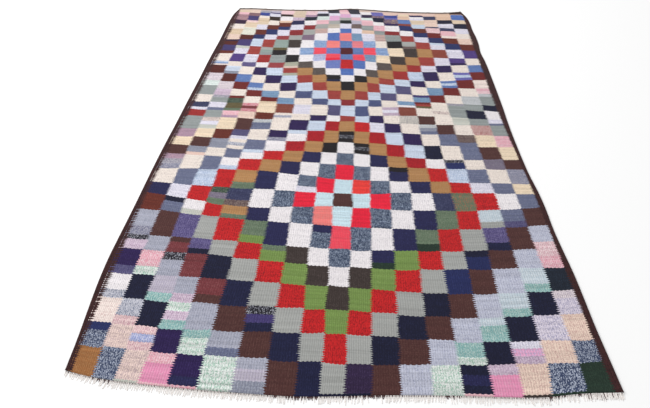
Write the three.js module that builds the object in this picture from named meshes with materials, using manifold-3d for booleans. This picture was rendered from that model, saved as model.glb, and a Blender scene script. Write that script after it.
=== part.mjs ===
// A flat-woven kilim lying flat on a floor.
// It is one woven cloth, with dark side borders woven in, and a short warp fringe at each end.
// Millimetres, +Z up. X runs across the rug and Y along it, from the near end to the far end.
// The floor is z = 0, and the origin is the middle of the whole rug on the floor.

import * as THREE from 'three';
import { mergeVertices } from 'three/addons/utils/BufferGeometryUtils.js';
import Module from 'manifold-3d';

const wasm = await Module();
wasm.setup();

// Cloth
const CLOTH_THICK = 3.0;
const FIELD_COLUMNS = 14;
const FIELD_ROWS = 26;

// The two long edges: left and right edge of the cloth at places along it
const LONG_EDGES = [
  { along: -1351, left: -739, right: 779 },
  { along: -1310, left: -742, right: 779 },
  { along: -1240, left: -748, right: 777 },
  { along: -1110, left: -762, right: 775 },
  { along: -970, left: -774, right: 777 },
  { along: -830, left: -776, right: 772 },
  { along: -690, left: -776, right: 769 },
  { along: -580, left: -777, right: 773 },
  { along: -440, left: -779, right: 763 },
  { along: -250, left: -779, right: 759 },
  { along: -60, left: -776, right: 760 },
  { along: 120, left: -775, right: 766 },
  { along: 350, left: -772, right: 770 },
  { along: 600, left: -771, right: 772 },
  { along: 740, left: -768, right: 767 },
  { along: 870, left: -765, right: 778 },
  { along: 1020, left: -765, right: 773 },
  { along: 1180, left: -763, right: 774 },
  { along: 1310, left: -754, right: 757 },
  { along: 1346, left: -745, right: 742 },
  { along: 1390, left: -734, right: 735 },
];

// The two woven ends, which bow and wander from side to side
const NEAR_END = [
  { across: -739, along: -1351 },
  { across: -680, along: -1365 },
  { across: -600, along: -1375 },
  { across: -450, along: -1387 },
  { across: -260, along: -1396 },
  { across: -70, along: -1400 },
  { across: 120, along: -1388 },
  { across: 310, along: -1380 },
  { across: 500, along: -1377 },
  { across: 600, along: -1371 },
  { across: 690, along: -1356 },
  { across: 779, along: -1351 },
];
const FAR_END = [
  { across: -735, along: 1388 },
  { across: -680, along: 1392 },
  { across: -440, along: 1371 },
  { across: -110, along: 1370 },
  { across: 10, along: 1389 },
  { across: 130, along: 1375 },
  { across: 310, along: 1342 },
  { across: 510, along: 1328 },
  { across: 640, along: 1328 },
  { across: 742, along: 1345 },
];

// Relief over the plain cloth: corded selvedge, twined row at the near end, turned hem at the far end
const SELVEDGE = [
  { inset: 0, rise: -0.8 },
  { inset: 2, rise: 1.2 },
  { inset: 6, rise: 2.0 },
  { inset: 10, rise: 1.2 },
  { inset: 13, rise: 0 },
];
const NEAR_TWINING = [
  { inset: 0, rise: -0.8 },
  { inset: 2, rise: 0.9 },
  { inset: 6, rise: 0 },
];
const FAR_HEM = [
  { inset: 0, rise: -1.0 },
  { inset: 3, rise: 1.2 },
  { inset: 10, rise: 1.2 },
  { inset: 14, rise: 0 },
];

// Soft swells where the cloth doesn't lie quite flat, the first two along a lengthwise fold line
const SWELLS = [
  { across: 8, along: -1180, halfWidth: 55, halfLength: 190, rise: 1.6 },
  { across: 0, along: -880, halfWidth: 60, halfLength: 170, rise: 1.2 },
  { across: -430, along: -640, halfWidth: 150, halfLength: 90, rise: 0.9 },
  { across: 470, along: -120, halfWidth: 170, halfLength: 110, rise: 0.9 },
  { across: -250, along: 420, halfWidth: 160, halfLength: 120, rise: 0.8 },
  { across: 330, along: 930, halfWidth: 150, halfLength: 120, rise: 1.0 },
];

// Fringes: a narrow strip of bound warps just outside the cloth, and the loose warp ends
const EDGE_GAP = 0.3;
const STRIP_WIDTH = 4.0;
const STRIP_HEIGHT = 2.6;
const STRAND_SEGMENTS = 2;
const STRAND_ROOT = { width: 2.8, height: 2.2 };
const STRAND_TIP = { width: 1.8, height: 1.4 };
const NEAR_STRANDS = 186;
const NEAR_LENGTH = { short: 11, long: 21 };
const FAR_STRANDS = 60;
const FAR_LENGTH = { short: 8, long: 12 };
const FAR_TUFTS = [-712, -662, -560, -455, -372, -290, -158, -58, 18, 62, 176, 262, 530, 640];
const TUFT_LENGTH = { short: 15, long: 21 };
const TUFT_SPREAD = 4.2;
const TUFT_SPLAY = 1.2;
const END_MARGIN = 5;

// A smooth curve through one column of a table, read by another column
function curveThrough(rows, key, column) {
  const places = rows.map((row) => row[key]);
  const values = rows.map((row) => row[column]);
  const curve = new THREE.CubicInterpolant(places, values, 1);
  return (at) => curve.evaluate(at)[0];
}

// A relief profile with straight runs between its rows, flat past the last one
function profile(rows) {
  const places = rows.map((row) => row.inset);
  const values = rows.map((row) => row.rise);
  const line = new THREE.LinearInterpolant(places, values, 1);
  return (inset) => line.evaluate(inset)[0];
}

const leftEdge = curveThrough(LONG_EDGES, 'along', 'left');
const rightEdge = curveThrough(LONG_EDGES, 'along', 'right');
const nearEnd = curveThrough(NEAR_END, 'across', 'along');
const farEnd = curveThrough(FAR_END, 'across', 'along');
const selvedgeRise = profile(SELVEDGE);
const nearRise = profile(NEAR_TWINING);
const farRise = profile(FAR_HEM);

// Grid lines of one direction: the insets of both edge profiles, with even divisions between.
// A line is a share of the way across and an offset in millimetres from that place.
function gridLines(firstProfile, lastProfile, divisions) {
  const lines = firstProfile.map((row) => ({ share: 0, offset: row.inset }));
  for (let i = 1; i < divisions; i += 1) {
    lines.push({ share: i / divisions, offset: 0 });
  }
  for (const row of [...lastProfile].reverse()) {
    lines.push({ share: 1, offset: -row.inset });
  }
  return lines;
}

const COLUMNS = gridLines(SELVEDGE, SELVEDGE, FIELD_COLUMNS);
const ROWS = gridLines(NEAR_TWINING, FAR_HEM, FIELD_ROWS);

function between(first, last, line) {
  return THREE.MathUtils.lerp(first, last, line.share) + line.offset;
}

// Where a column line and a row line cross on the floor plane
function crossing(column, row) {
  const level = between(NEAR_END[0].along, FAR_END[0].along, row);
  const guess = between(leftEdge(level), rightEdge(level), column);
  const y = between(nearEnd(guess), farEnd(guess), row);
  const x = between(leftEdge(y), rightEdge(y), column);
  return new THREE.Vector2(x, y);
}

function swellRise(x, y) {
  let rise = 0;
  for (const swell of SWELLS) {
    const across = (x - swell.across) / swell.halfWidth;
    const along = (y - swell.along) / swell.halfLength;
    rise += swell.rise * Math.exp(-across * across - along * along);
  }
  return rise;
}

function clothTop(x, y) {
  const fromSide = Math.min(x - leftEdge(y), rightEdge(y) - x);
  const relief = selvedgeRise(fromSide) + nearRise(y - nearEnd(x)) + farRise(farEnd(x) - y);
  return CLOTH_THICK + relief + swellRise(x, y);
}

// Moves each vertex of a box grid by a function of its grid indices and its level, 0 or 1
function shapedGrid(columns, rows, place) {
  const grid = new THREE.BoxGeometry(columns, rows, 1, columns, rows, 1);
  const at = grid.attributes.position;
  for (let i = 0; i < at.count; i += 1) {
    const column = Math.round(at.getX(i) + columns / 2);
    const row = Math.round(at.getY(i) + rows / 2);
    const level = Math.round(at.getZ(i) + 0.5);
    const spot = place(column, row, level);
    at.setXYZ(i, spot.x, spot.y, spot.z);
  }
  grid.computeVertexNormals();
  return grid;
}

// The straight-run line of one woven end, as the grid's columns draw it
function wovenEnd(row) {
  const points = COLUMNS.map((column) => crossing(column, row));
  const line = new THREE.LinearInterpolant(points.map((p) => p.x), points.map((p) => p.y), 1);
  return { points, at: (x) => line.evaluate(x)[0] };
}

// The rug's two ends; outward is the way that their warps run out of the cloth
const NEAR = { outward: -1, end: wovenEnd(ROWS[0]) };
const FAR = { outward: 1, end: wovenEnd(ROWS[ROWS.length - 1]) };

function woven() {
  return shapedGrid(COLUMNS.length - 1, ROWS.length - 1, (column, row, level) => {
    const spot = crossing(COLUMNS[column], ROWS[row]);
    return new THREE.Vector3(spot.x, spot.y, level * clothTop(spot.x, spot.y));
  });
}

// The strip of bound warps beside one end of the cloth
function strip({ outward, end }) {
  return shapedGrid(COLUMNS.length - 1, 1, (column, row, level) => {
    const spot = end.points[column];
    const outer = outward < 0 ? 1 - row : row;
    const reach = EDGE_GAP + outer * STRIP_WIDTH;
    return new THREE.Vector3(spot.x, spot.y + outward * reach, level * STRIP_HEIGHT);
  });
}

// One loose warp end, four-sided, rooted in the middle of the strip and level on the floor
function strand({ outward, end }, x, length, lean) {
  const rootY = end.at(x) + outward * (EDGE_GAP + STRIP_WIDTH / 2);
  const reach = STRIP_WIDTH / 2 + length;
  return shapedGrid(1, STRAND_SEGMENTS, (side, step, level) => {
    const along = (outward < 0 ? STRAND_SEGMENTS - step : step) / STRAND_SEGMENTS;
    const width = THREE.MathUtils.lerp(STRAND_ROOT.width, STRAND_TIP.width, along);
    const height = THREE.MathUtils.lerp(STRAND_ROOT.height, STRAND_TIP.height, along);
    const middle = x + lean * along * along;
    return new THREE.Vector3(middle + (side - 0.5) * width, rootY + outward * reach * along, level * height);
  });
}

// Steady scatter between 0 and 1 for strand number i
function scatter(i, salt) {
  const wave = Math.sin(i * 12.9898 + salt * 78.233) * 43758.5453;
  return wave - Math.floor(wave);
}

function evenStrands(side, count, length, salt) {
  const first = side.end.points.at(0).x + END_MARGIN;
  const last = side.end.points.at(-1).x - END_MARGIN;
  const strands = [];
  for (let i = 0; i < count; i += 1) {
    const x = THREE.MathUtils.lerp(first, last, i / (count - 1));
    const reach = THREE.MathUtils.lerp(length.short, length.long, scatter(i, salt));
    const lean = 2.2 * Math.sin(i / 9 + salt) + 0.9 * (scatter(i, salt + 1) - 0.5);
    strands.push({ x, geometry: strand(side, x, reach, lean) });
  }
  return strands;
}

// Longer tufts of three warps each; the plain strands keep clear of them
function tufts(side, places, length, salt) {
  const strands = [];
  places.forEach((place, number) => {
    for (const turn of [-1, 0, 1]) {
      const x = place + turn * TUFT_SPREAD;
      const reach = THREE.MathUtils.lerp(length.short, length.long, scatter(3 * number + turn, salt));
      strands.push({ x, geometry: strand(side, x, reach, turn * TUFT_SPLAY) });
    }
  });
  return strands;
}

function toSolid(geometry) {
  geometry.deleteAttribute('normal');
  geometry.deleteAttribute('uv');
  const merged = mergeVertices(geometry);
  const vertProperties = Float32Array.from(merged.attributes.position.array);
  const triVerts = Uint32Array.from(merged.index.array);
  return new wasm.Manifold(new wasm.Mesh({ numProp: 3, vertProperties, triVerts }));
}

function toGeometry(solid) {
  const mesh = solid.getMesh();
  const geometry = new THREE.BufferGeometry();
  geometry.setAttribute('position', new THREE.BufferAttribute(mesh.vertProperties, mesh.numProp));
  geometry.setIndex(new THREE.BufferAttribute(mesh.triVerts, 1));
  geometry.computeVertexNormals();
  return geometry;
}

function fringe(side, strands) {
  let solid = toSolid(strip(side));
  for (const { geometry } of strands) {
    solid = solid.add(toSolid(geometry));
  }
  return toGeometry(solid);
}

function nearFringe() {
  return fringe(NEAR, evenStrands(NEAR, NEAR_STRANDS, NEAR_LENGTH, 1));
}

function farFringe() {
  const clear = 3 * TUFT_SPREAD;
  const plain = evenStrands(FAR, FAR_STRANDS, FAR_LENGTH, 5).filter(({ x }) =>
    FAR_TUFTS.every((place) => Math.abs(x - place) > clear));
  return fringe(FAR, [...plain, ...tufts(FAR, FAR_TUFTS, TUFT_LENGTH, 7)]);
}

function piece(name, geometry, color, roughness) {
  const material = new THREE.MeshStandardMaterial({ color, roughness, metalness: 0 });
  const mesh = new THREE.Mesh(geometry, material);
  mesh.name = name;
  return mesh;
}

const kilim = new THREE.Group();
kilim.add(piece('cloth', woven(), 0x8a7482, 0.95));
kilim.add(piece('fringe_near', nearFringe(), 0xe9e1d3, 0.9));
kilim.add(piece('fringe_far', farFringe(), 0xe4dccd, 0.9));

// The whole rug is centred over the origin, with its underside on the floor
const middle = new THREE.Box3().setFromObject(kilim).getCenter(new THREE.Vector3());
kilim.position.set(-middle.x, -middle.y, 0);

export default kilim;
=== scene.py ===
"""Dresses a packed flat-woven kilim: the woven cloth and the warp ends outside its two woven ends.

The cloth is woven in checks, 19 across and 33 along, whose yarns form two nested stepped diamonds.
Tables are in millimetres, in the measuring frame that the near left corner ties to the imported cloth.
Meshes are in metres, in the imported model's frame: X across, Y along, Z up, floor at zero.
"""

import logging
import math
import random
from bisect import bisect_right
from dataclasses import dataclass
from enum import Enum

import bmesh
import bpy
from mathutils import Matrix, Vector, noise


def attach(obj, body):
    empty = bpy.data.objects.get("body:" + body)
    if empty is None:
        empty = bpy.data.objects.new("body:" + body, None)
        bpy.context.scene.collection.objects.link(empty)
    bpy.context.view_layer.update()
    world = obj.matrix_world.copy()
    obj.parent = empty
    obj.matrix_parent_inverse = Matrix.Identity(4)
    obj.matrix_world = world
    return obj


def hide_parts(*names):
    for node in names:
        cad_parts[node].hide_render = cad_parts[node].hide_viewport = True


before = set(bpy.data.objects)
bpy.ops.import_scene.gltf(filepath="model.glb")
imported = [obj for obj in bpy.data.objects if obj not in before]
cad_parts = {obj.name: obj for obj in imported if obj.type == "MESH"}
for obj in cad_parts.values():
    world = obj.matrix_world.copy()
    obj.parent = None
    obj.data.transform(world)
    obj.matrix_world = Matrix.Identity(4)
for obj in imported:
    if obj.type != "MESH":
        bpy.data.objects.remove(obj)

log = logging.getLogger("kilim")

MM = 0.001
CHECK_COLUMNS = 19
CHECK_ROWS = 33
MIDDLE_COLUMN = 9
RIBS = 11
HEM_LINE = CHECK_ROWS + 1
FAR_LINE = CHECK_ROWS + 2
HEM_WIDTH = 19.0
THIRDS = 3

# The first row of checks that belongs to the far medallion
FAR_MEDALLION_ROW = 17

# Beside the hem, the least depth of a row of checks, and the strip's share of it
LEAST_ROW = 10
STRIP_SHARE = 0.4

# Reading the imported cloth: steepest normal of a wall, and height that still counts as on the floor
WALL_NORMAL = 0.2
ON_FLOOR = 0.1

# The near left corner of the cloth in the measuring frame
NEAR_LEFT_CORNER = (-739.0, -1351.0)

# Upright lines between the checks, left to right, at places along the rug
COLUMN_LINES = {
    -1354: (-719, -655, -593, -520, -443, -356, -265, -175, -92, -25, 41, 114, 193, 277, 357, 435, 515,
            591, 683, 757),
    -1245: (-727, -663, -593, -518, -443, -358, -267, -176, -92, -23, 44, 116, 194, 277, 357, 435, 515,
            601, 687, 754),
    -590: (-751, -671, -588, -507, -434, -339, -252, -170, -90, -20, 52, 122, 199, 279, 360, 435, 516,
           600, 680, 751),
    118: (-738, -660, -576, -494, -415, -328, -240, -154, -75, -12, 58, 124, 188, 266, 347, 427, 504,
          582, 671, 733),
    493: (-730, -653, -574, -496, -424, -336, -256, -175, -106, -23, 47, 113, 175, 255, 337, 412, 494,
          578, 665, 737),
    925: (-724, -649, -566, -498, -426, -349, -269, -194, -115, -40, 32, 95, 170, 234, 325, 403, 491,
          572, 662, 740),
    1246: (-722, -652, -578, -510, -438, -355, -274, -199, -119, -49, 22, 88, 159, 237, 325, 399, 487,
           569, 668, 748),
    1340: (-728, -653, -582, -515, -442, -357, -273, -201, -132, -55, 3, 78, 147, 230, 322, 398, 487,
           569, 664, 744),
}

# Lines between the rows of checks, near to far, in the middle of some columns; line 0 is the woven end
ROW_LINES = {
    0.5: (-1361, -1270, -1189, -1091, -992, -880, -810, -674, -580, -511, -417, -311, -244, -177,
          -109, -4, 59, 132, 207, 273, 355, 443, 533, 585, 682, 801, 879, 955, 1041, 1118, 1186, 1261,
          1317, 1355),
    4.5: (-1388, -1286, -1205, -1107, -1003, -903, -828, -712, -644, -538, -420, -338, -273, -198,
          -113, -24, 38, 120, 185, 251, 331, 414, 506, 569, 668, 768, 879, 935, 1024, 1103, 1137, 1231,
          1276, 1344),
    9.5: (-1388, -1296, -1200, -1115, -1024, -938, -858, -741, -635, -555, -467, -372, -286, -208,
          -115, -33, 15, 108, 171, 259, 355, 430, 507, 613, 687, 772, 866, 968, 1047, 1125, 1177, 1224,
          1277, 1331),
    14.5: (-1375, -1288, -1211, -1129, -1035, -936, -850, -744, -647, -540, -473, -386, -319, -222,
          -131, -51, 22, 98, 155, 224, 305, 374, 474, 551, 654, 764, 859, 930, 1008, 1099, 1127, 1197,
          1269, 1317),
    18.5: (-1353, -1261, -1189, -1099, -1008, -914, -831, -714, -618, -538, -473, -381, -311, -220,
          -135, -47, 1, 76, 133, 217, 299, 391, 475, 560, 640, 749, 828, 910, 981, 1055, 1130, 1189,
          1264, 1307),
}


@dataclass(frozen=True)
class Dye:
    """The colours of one hand-spun yarn as they look on the rug, each from 0 to 255.

    Attributes:
        ground: The yarn's main colour.
        fleck: The second colour spun into it.
        flecked: How much of the yarn shows the second colour, from 0 to 1.
        banded: How much its shade changes from weft to weft, from 0 to 1.
    """

    ground: tuple[int, int, int]
    fleck: tuple[int, int, int]
    flecked: float = 0.22
    banded: float = 0.25


class Yarn(Enum):
    """Every yarn of the rug, named by its look."""

    WHITE = Dye((240, 237, 238), (215, 212, 216), 0.2, 0.12)
    LILAC_WHITE = Dye((228, 226, 236), (203, 203, 219), 0.3)
    BLUE_WHITE = Dye((208, 218, 233), (169, 188, 214), 0.35)
    ICE_BLUE = Dye((207, 218, 232), (190, 204, 221), 0.25)
    MINT_WHITE = Dye((223, 231, 228), (193, 213, 206), 0.3)
    CREAM_MINT = Dye((229, 229, 215), (204, 209, 197), 0.25)
    CREAM = Dye((238, 230, 221), (219, 208, 201), 0.25, 0.15)
    CREAM_YELLOW = Dye((238, 222, 198), (222, 205, 177))
    CREAM_PEACH = Dye((235, 215, 200), (218, 188, 179), 0.3)
    CREAM_LILAC = Dye((223, 215, 218), (197, 187, 199), 0.3)
    CREAM_TAN = Dye((220, 204, 184), (195, 177, 158), 0.3)
    CREAM_DASHED = Dye((230, 218, 210), (119, 90, 105), 0.3)
    PEACH_WHITE = Dye((238, 227, 220), (223, 201, 196))
    PINK_WHITE = Dye((235, 215, 217), (220, 175, 185), 0.35)
    PINK_CREAM = Dye((233, 209, 208), (211, 172, 181), 0.35)
    PEACH_HEATHER = Dye((233, 213, 204), (205, 186, 186), 0.38)
    GREY_BEIGE = Dye((201, 197, 190), (174, 172, 170), 0.35)
    CORNFLOWER = Dye((97, 126, 180), (129, 154, 196), 0.3)
    BLUE = Dye((80, 114, 181), (117, 144, 197), 0.3)
    STEEL_BLUE = Dye((116, 148, 182), (152, 180, 201), 0.35)
    STEEL_HEATHER = Dye((120, 153, 199), (188, 205, 227), 0.35, 0.35)
    IRIS_HEATHER = Dye((152, 164, 205), (207, 210, 232), 0.45)
    IRIS = Dye((110, 128, 189), (142, 153, 203), 0.3)
    ROYAL_BLUE = Dye((62, 79, 151), (88, 105, 172))
    ROYAL_LAVENDER = Dye((105, 104, 172), (147, 143, 197), 0.3)
    NAVY_BLUE = Dye((43, 56, 106), (59, 72, 122))
    BLUE_NAVY = Dye((38, 50, 97), (54, 66, 115))
    DEEP_BLUE = Dye((41, 44, 86), (58, 62, 108))
    NAVY = Dye((29, 37, 71), (46, 53, 91))
    DARK_NAVY = Dye((23, 31, 59), (39, 47, 80))
    TEAL_NAVY = Dye((28, 42, 57), (47, 63, 80))
    CHARCOAL_NAVY = Dye((51, 52, 66), (81, 84, 96), 0.3)
    PURPLE_NAVY = Dye((48, 33, 87), (67, 53, 107))
    DARK_PURPLE = Dye((55, 41, 75), (75, 60, 97))
    DARK_PLUM = Dye((58, 36, 66), (81, 56, 88))
    PURPLE = Dye((85, 65, 132), (111, 91, 154))
    PURPLE_SLATE = Dye((74, 66, 118), (98, 91, 140))
    PURPLE_HEATHER = Dye((92, 85, 131), (128, 121, 162), 0.35)
    PURPLE_MIX = Dye((91, 74, 124), (192, 169, 137), 0.35, 0.4)
    SLATE = Dye((109, 116, 143), (135, 142, 164), 0.3)
    SLATE_BLUE = Dye((78, 88, 127), (106, 116, 151), 0.3)
    SLATE_PURPLE = Dye((86, 83, 122), (112, 109, 144), 0.35)
    SLATE_GREY = Dye((141, 146, 161), (167, 172, 184), 0.35)
    SLATE_NAVY = Dye((58, 64, 96), (84, 90, 121), 0.3)
    SLATE_MAUVE = Dye((124, 117, 135), (151, 145, 158), 0.35)
    SLATE_HEATHER = Dye((129, 132, 152), (182, 182, 194), 0.4)
    SLATE_WHITE = Dye((200, 202, 210), (139, 146, 164), 0.35)
    LAVENDER_GREY = Dye((177, 180, 193), (158, 163, 179), 0.25)
    PALE_BLUE = Dye((209, 231, 238), (190, 214, 227))
    PALE_LAVENDER = Dye((197, 201, 215), (175, 180, 200), 0.25)
    LILAC_GREY = Dye((184, 179, 194), (204, 200, 210), 0.3)
    LILAC_HEATHER = Dye((221, 215, 226), (182, 179, 202), 0.35)
    LILAC_MAUVE = Dye((206, 191, 206), (178, 156, 179), 0.35)
    SAGE_GREY = Dye((169, 172, 169), (184, 186, 182))
    BLUE_GREY = Dye((190, 204, 212), (214, 224, 229), 0.4)
    SAGE = Dye((151, 159, 158), (173, 179, 177))
    SAGE_MINT = Dye((150, 166, 160), (172, 186, 180))
    SAGE_BEIGE = Dye((172, 177, 162), (195, 190, 171), 0.3)
    SAGE_CREAM = Dye((195, 201, 193), (215, 212, 202), 0.35)
    PALE_GREY = Dye((199, 203, 205), (175, 180, 185), 0.25)
    GREY_HEATHER = Dye((150, 148, 160), (194, 194, 201), 0.4)
    MINT_HEATHER = Dye((224, 230, 226), (176, 207, 191), 0.38, 0.4)
    TEAL_MINT = Dye((139, 180, 178), (189, 213, 208), 0.35)
    GREEN = Dye((126, 153, 87), (145, 170, 105), 0.22)
    GREEN_HEATHER = Dye((106, 125, 104), (133, 147, 127), 0.3)
    GREEN_SPECKLED = Dye((110, 125, 103), (178, 123, 99), 0.25)
    DARK_GREEN = Dye((39, 62, 51), (57, 82, 67))
    DARK_GREEN_HEATHER = Dye((52, 73, 61), (119, 133, 118), 0.35)
    GREEN_BLACK = Dye((32, 43, 42), (52, 65, 62))
    OLIVE_BROWN = Dye((102, 94, 65), (128, 118, 88), 0.3)
    RED = Dye((203, 44, 47), (160, 31, 39), 0.28)
    DARK_RED = Dye((180, 37, 47), (145, 28, 40), 0.28)
    CRIMSON = Dye((233, 44, 74), (211, 38, 62), 0.2)
    CORAL = Dye((237, 84, 103), (240, 114, 122))
    CORAL_PINK = Dye((227, 130, 140), (236, 160, 164), 0.3)
    SALMON = Dye((238, 136, 132), (242, 162, 156))
    ORANGE_RED = Dye((238, 78, 72), (220, 66, 64))
    TERRACOTTA = Dye((160, 69, 64), (180, 93, 84))
    MAUVE_RED = Dye((157, 71, 76), (177, 99, 100))
    BRICK = Dye((166, 58, 56), (145, 48, 49))
    BRICK_BROWN = Dye((143, 74, 62), (163, 97, 82))
    CHERRY = Dye((142, 49, 54), (164, 73, 75))
    OXBLOOD = Dye((88, 28, 39), (111, 42, 52))
    MAROON = Dye((118, 42, 41), (138, 60, 56))
    DARK_MAROON = Dye((92, 41, 34), (113, 59, 50))
    MAROON_BROWN = Dye((108, 50, 39), (130, 72, 57))
    MAROON_MAUVE = Dye((124, 63, 68), (148, 91, 94))
    TERRACOTTA_BROWN = Dye((136, 77, 65), (158, 101, 86))
    BROWN = Dye((88, 57, 55), (106, 75, 70), 0.25)
    BROWN_HEATHER = Dye((104, 88, 88), (143, 129, 123), 0.35)
    BROWN_MAUVE = Dye((134, 102, 110), (156, 128, 134), 0.3)
    MAUVE_BROWN = Dye((164, 130, 138), (186, 158, 161), 0.3)
    BLACK_BROWN = Dye((56, 43, 39), (76, 61, 56))
    HEM_BROWN = Dye((80, 66, 58), (56, 46, 42), 0.35, 0.3)
    BORDER_BROWN = Dye((74, 43, 43), (52, 32, 33), 0.3, 0.3)
    CHARCOAL = Dye((69, 61, 58), (89, 80, 77), 0.25)
    CHARCOAL_HEATHER = Dye((87, 79, 76), (119, 112, 107), 0.35)
    BLACK = Dye((30, 28, 33), (50, 48, 53))
    BLACK_FLECKED = Dye((36, 38, 50), (176, 179, 188), 0.27)
    PINK = Dye((230, 157, 189), (237, 182, 205))
    PINK_LILAC = Dye((232, 178, 208), (204, 188, 218), 0.35)
    SOFT_PINK = Dye((230, 187, 195), (236, 208, 211))
    PALE_PINK = Dye((234, 202, 207), (239, 217, 219))
    PINK_HEATHER = Dye((221, 167, 179), (238, 210, 215), 0.4)
    PINK_RED_HEATHER = Dye((198, 109, 126), (233, 198, 200), 0.4)
    LILAC_PINK = Dye((214, 199, 213), (194, 172, 194), 0.35)
    MAUVE = Dye((169, 144, 166), (195, 174, 190), 0.3)
    MAUVE_HEATHER = Dye((185, 156, 171), (160, 143, 160), 0.35)
    PURPLE_MAUVE = Dye((130, 110, 131), (158, 139, 158), 0.3)
    GOLD = Dye((179, 139, 94), (194, 156, 114), 0.25)
    MUSTARD = Dye((166, 118, 74), (185, 141, 97), 0.25)
    TAN = Dye((214, 195, 183), (226, 209, 199), 0.3)
    TAN_HEATHER = Dye((210, 189, 160), (228, 212, 191), 0.4)
    TAN_MAUVE = Dye((202, 175, 165), (183, 163, 167), 0.35)
    TAN_PEACH = Dye((222, 193, 171), (231, 209, 190), 0.3)
    TAN_PINK = Dye((226, 198, 186), (235, 213, 203), 0.3)
    TAN_CREAM = Dye((219, 201, 177), (232, 218, 198), 0.3)
    TAN_SAGE = Dye((187, 180, 167), (204, 192, 181), 0.35)
    TAN_RED_HEATHER = Dye((202, 175, 170), (178, 117, 117), 0.3)
    BLUE_HEATHER = Dye((66, 80, 110), (184, 193, 208), 0.37, 0.3)
    STORM_HEATHER = Dye((66, 80, 104), (150, 163, 181), 0.36, 0.3)


Runs = tuple[tuple[Yarn, int], ...]


def runs(words: str) -> Runs:
    """Reads the yarns of one arm of a ring.

    Args:
        words: Yarn names with the last row that each reaches, such as "coral 6, salmon 7".

    Returns:
        The yarns and their last rows, in order.
    """
    parts = (part.split() for part in words.split(","))
    return tuple((Yarn[name.upper()], int(last)) for name, last in parts)


@dataclass(frozen=True)
class Medallion:
    """Nested stepped rings of checks round one middle check.

    Attributes:
        middle_row: Row of the middle check.
        rings: Left and right arm of each ring, from the middle out.
    """

    middle_row: int
    rings: tuple[tuple[Runs, Runs], ...]

    @classmethod
    def from_words(cls, middle_row: int, rings: tuple[str, ...]) -> "Medallion":
        """Builds a medallion from one line of words a ring.

        Args:
            middle_row: Row of the middle check.
            rings: Runs for both arms, or for the left and the right arm with a bar between.

        Returns:
            The medallion.
        """
        arms = []
        for words in rings:
            left, _, right = words.partition("|")
            arms.append((runs(left), runs(right or left)))
        return cls(middle_row, tuple(arms))

    def yarn(self, column: int, row: int) -> Yarn:
        """Finds the yarn of one check.

        Args:
            column: Check column, 0 at the left.
            row: Check row, 0 at the near end.

        Returns:
            The yarn of the ring that the check belongs to.
        """
        ring = abs(column - MIDDLE_COLUMN) + abs(row - self.middle_row)
        arm = self.rings[ring][column > MIDDLE_COLUMN]
        return next((yarn for yarn, last in arm if row <= last), arm[-1][0])


NEAR_MEDALLION = Medallion.from_words(8, (
    "brown 8",
    "pale_blue 9",
    "coral 6, salmon 7, crimson 10 | crimson 8, orange_red 9, crimson 10",
    "storm_heather 11",
    "white 12",
    "charcoal 5, deep_blue 7, slate_navy 8, deep_blue 11, black 13"
    " | charcoal 4, deep_blue 7, slate_navy 8, deep_blue 11, black 13",
    "green 5, green_heather 8, gold 14 | green 5, green_heather 7, green_speckled 8, gold 14",
    "red 11, dark_red 14, terracotta 15 | red 10, dark_red 13, red 14",
    "sage_grey 6, white 7, lilac_white 8, blue_white 9, white 13, ice_blue 14, white 15, ice_blue 16"
    " | sage_grey 7, white 8, lilac_white 9, blue_white 10, white 11, ice_blue 13, lilac_white 14,"
    "ice_blue 16",
    "navy 3, dark_navy 4, purple_heather 6, slate 7, deep_blue 8, slate 12, purple_navy 15, slate_purple 16"
    " | dark_purple 0, dark_navy 3, blue_navy 5, purple_heather 6, slate 10, navy_blue 11, dark_navy 12,"
    "purple_navy 15, slate_blue 16",
    "brown 2, maroon_mauve 5, brown 6, maroon_brown 7, cream 16 | brown 7, cream_yellow 9, cream 16",
    "lavender_grey 6, slate_grey 12, slate 14, grey_beige 15, lilac_white 16"
    " | pale_lavender 6, slate_heather 10, slate_mauve 11, slate 14, grey_beige 15, lilac_white 16",
    "mint_heather 1, teal_mint 3, pink_heather 4, lilac_pink 5, brown 12, maroon_brown 13, brown 14,"
    "maroon_brown 15, terracotta_brown 16"
    " | mint_heather 1, teal_mint 4, pink_white 5, brown 15, terracotta_brown 16",
    "purple_navy 1, dark_navy 3, purple_navy 4, cream_yellow 14, cream_peach 15, cream_yellow 16"
    " | dark_navy 3, teal_navy 4, cream_yellow 13, cream 16",
    "pink 0, pink_cream 1, slate_white 2, white 3, mauve_heather 13, slate_white 14, pink_heather 15,"
    "pink_red_heather 16"
    " | pink 0, lilac_white 1, lilac_heather 3, pink_heather 13, tan_red_heather 14, sage_cream 15, cream 16",
    "peach_heather 1, peach_white 2, sage 16 | cream_peach 2, sage 16",
    "blue_heather 1, brick 15, lilac_white 16 | blue_heather 1, slate 15, dark_navy 16",
    "mustard 0, slate_navy 16 | dark_green 0, white 16",
))

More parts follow.
